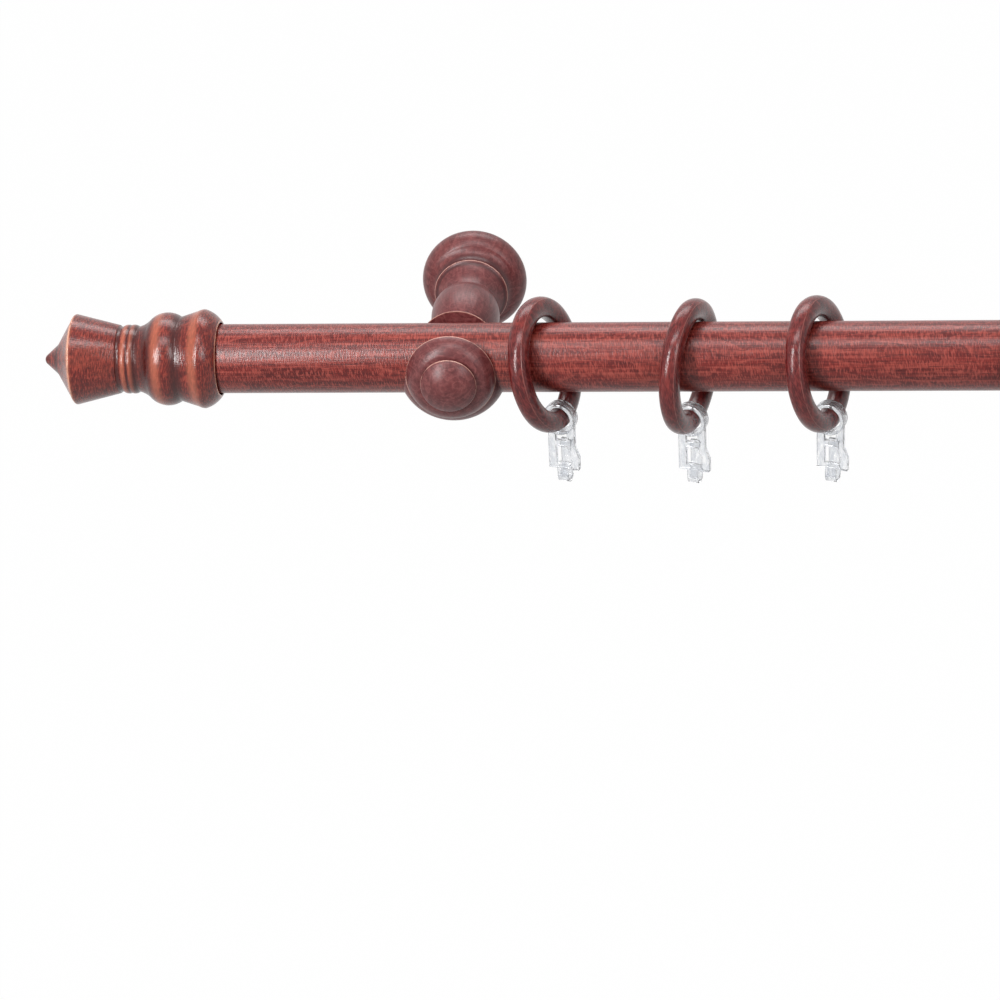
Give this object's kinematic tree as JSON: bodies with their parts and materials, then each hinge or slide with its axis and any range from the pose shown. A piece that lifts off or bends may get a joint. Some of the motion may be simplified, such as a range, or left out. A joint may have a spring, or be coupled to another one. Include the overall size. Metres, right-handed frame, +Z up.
{
  "type": "wooden curtain rod",
  "caption": "Turned wooden curtain rod: round pole on wall brackets with rosettes, shaped finials, and sliding wooden rings that each carry a clear clip hook.",
  "frame": {"origin": "where the left bracket's bolt enters the wall, in the plane of the wall", "axes": "+X along the pole to the right as seen from the room, +Y into the wall, +Z up"},
  "size_m": [1.2974, 0.1596, 0.0807],
  "materials": {
    "pole_wood": "satin varnish over a mahogany red stain",
    "finial_wood": "satin varnish over a mahogany red stain",
    "bracket_wood": "satin varnish over a mahogany red stain",
    "ring_wood": "satin varnish over a mahogany red stain",
    "hook_plastic": "clear, glossy moulded plastic",
    "steel": "bright zinc plated"
  },
  "bodies": {
    "root": {"pole": "pole_wood", "finial_left": "finial_wood", "finial_screw_left": "steel", "bracket_left": "bracket_wood", "pole_screw_left": "steel", "wall_bolt_left": "steel", "finial_right": "finial_wood", "finial_screw_right": "steel", "bracket_right": "bracket_wood", "pole_screw_right": "steel", "wall_bolt_right": "steel"},
    "ring_01": {"ring_01": "ring_wood"},
    "hook_01": {"hook_01": "hook_plastic"},
    "ring_02": {"ring_02": "ring_wood"},
    "hook_02": {"hook_02": "hook_plastic"},
    "ring_03": {"ring_03": "ring_wood"},
    "hook_03": {"hook_03": "hook_plastic"},
    "ring_04": {"ring_04": "ring_wood"},
    "hook_04": {"hook_04": "hook_plastic"},
    "ring_05": {"ring_05": "ring_wood"},
    "hook_05": {"hook_05": "hook_plastic"},
    "ring_06": {"ring_06": "ring_wood"},
    "hook_06": {"hook_06": "hook_plastic"},
    "ring_07": {"ring_07": "ring_wood"},
    "hook_07": {"hook_07": "hook_plastic"},
    "ring_08": {"ring_08": "ring_wood"},
    "hook_08": {"hook_08": "hook_plastic"},
    "ring_09": {"ring_09": "ring_wood"},
    "hook_09": {"hook_09": "hook_plastic"},
    "ring_10": {"ring_10": "ring_wood"},
    "hook_10": {"hook_10": "hook_plastic"},
    "ring_11": {"ring_11": "ring_wood"},
    "hook_11": {"hook_11": "hook_plastic"},
    "ring_12": {"ring_12": "ring_wood"},
    "hook_12": {"hook_12": "hook_plastic"}
  },
  "joints": [
    {"name": "ring_slide_01", "type": "slide", "parent": "root", "child": "ring_01", "axis": [1, 0, 0], "range_m": [-0.006, 0.009]},
    {"name": "ring_slide_02", "type": "slide", "parent": "ring_01", "child": "ring_02", "axis": [1, 0, 0], "range_m": [-0.0368, 0]},
    {"name": "ring_slide_03", "type": "slide", "parent": "ring_02", "child": "ring_03", "axis": [1, 0, 0], "range_m": [-0.0307, 0]},
    {"name": "ring_slide_04", "type": "slide", "parent": "ring_03", "child": "ring_04", "axis": [1, 0, 0], "range_m": [-0.06552, 0]},
    {"name": "ring_slide_05", "type": "slide", "parent": "ring_04", "child": "ring_05", "axis": [1, 0, 0], "range_m": [-0.06552, 0]},
    {"name": "ring_slide_06", "type": "slide", "parent": "ring_05", "child": "ring_06", "axis": [1, 0, 0], "range_m": [-0.06552, 0]},
    {"name": "ring_slide_07", "type": "slide", "parent": "ring_06", "child": "ring_07", "axis": [1, 0, 0], "range_m": [-0.06552, 0]},
    {"name": "ring_slide_08", "type": "slide", "parent": "ring_07", "child": "ring_08", "axis": [1, 0, 0], "range_m": [-0.06552, 0]},
    {"name": "ring_slide_09", "type": "slide", "parent": "ring_08", "child": "ring_09", "axis": [1, 0, 0], "range_m": [-0.06552, 0]},
    {"name": "ring_slide_10", "type": "slide", "parent": "ring_09", "child": "ring_10", "axis": [1, 0, 0], "range_m": [-0.06552, 0]},
    {"name": "ring_slide_11", "type": "slide", "parent": "ring_10", "child": "ring_11", "axis": [1, 0, 0], "range_m": [-0.06552, 0]},
    {"name": "ring_slide_12", "type": "slide", "parent": "ring_11", "child": "ring_12", "axis": [1, 0, 0], "range_m": [-0.06552, 0]},
    {"name": "hook_swing_01", "type": "hinge", "parent": "ring_01", "child": "hook_01", "pos_m": [0.04194, -0.08868, -0.02374], "axis": [0.3156, 0.9489, 0], "range_deg": [-40, 40]},
    {"name": "hook_swing_02", "type": "hinge", "parent": "ring_02", "child": "hook_02", "pos_m": [0.0947, -0.087, -0.02542], "axis": [0.299, 0.9542, 0], "range_deg": [-40, 40]},
    {"name": "hook_swing_03", "type": "hinge", "parent": "ring_03", "child": "hook_03", "pos_m": [0.15052, -0.08847, -0.02418], "axis": [0.3355, 0.9421, 0], "range_deg": [-40, 40]},
    {"name": "hook_swing_04", "type": "hinge", "parent": "ring_04", "child": "hook_04", "pos_m": [0.23797, -0.08868, -0.02374], "axis": [0.3156, 0.9489, 0], "range_deg": [-40, 40]},
    {"name": "hook_swing_05", "type": "hinge", "parent": "ring_05", "child": "hook_05", "pos_m": [0.31944, -0.087, -0.02542], "axis": [0.299, 0.9542, 0], "range_deg": [-40, 40]},
    {"name": "hook_swing_06", "type": "hinge", "parent": "ring_06", "child": "hook_06", "pos_m": [0.41008, -0.08847, -0.02418], "axis": [0.3355, 0.9421, 0], "range_deg": [-40, 40]},
    {"name": "hook_swing_07", "type": "hinge", "parent": "ring_07", "child": "hook_07", "pos_m": [0.49753, -0.08868, -0.02374], "axis": [0.3156, 0.9489, 0], "range_deg": [-40, 40]},
    {"name": "hook_swing_08", "type": "hinge", "parent": "ring_08", "child": "hook_08", "pos_m": [0.57901, -0.087, -0.02542], "axis": [0.299, 0.9542, 0], "range_deg": [-40, 40]},
    {"name": "hook_swing_09", "type": "hinge", "parent": "ring_09", "child": "hook_09", "pos_m": [0.66965, -0.08847, -0.02418], "axis": [0.3355, 0.9421, 0], "range_deg": [-40, 40]},
    {"name": "hook_swing_10", "type": "hinge", "parent": "ring_10", "child": "hook_10", "pos_m": [0.7571, -0.08868, -0.02374], "axis": [0.3156, 0.9489, 0], "range_deg": [-40, 40]},
    {"name": "hook_swing_11", "type": "hinge", "parent": "ring_11", "child": "hook_11", "pos_m": [0.83858, -0.087, -0.02542], "axis": [0.299, 0.9542, 0], "range_deg": [-40, 40]},
    {"name": "hook_swing_12", "type": "hinge", "parent": "ring_12", "child": "hook_12", "pos_m": [0.92922, -0.08847, -0.02418], "axis": [0.3355, 0.9421, 0], "range_deg": [-40, 40]}
  ]
}
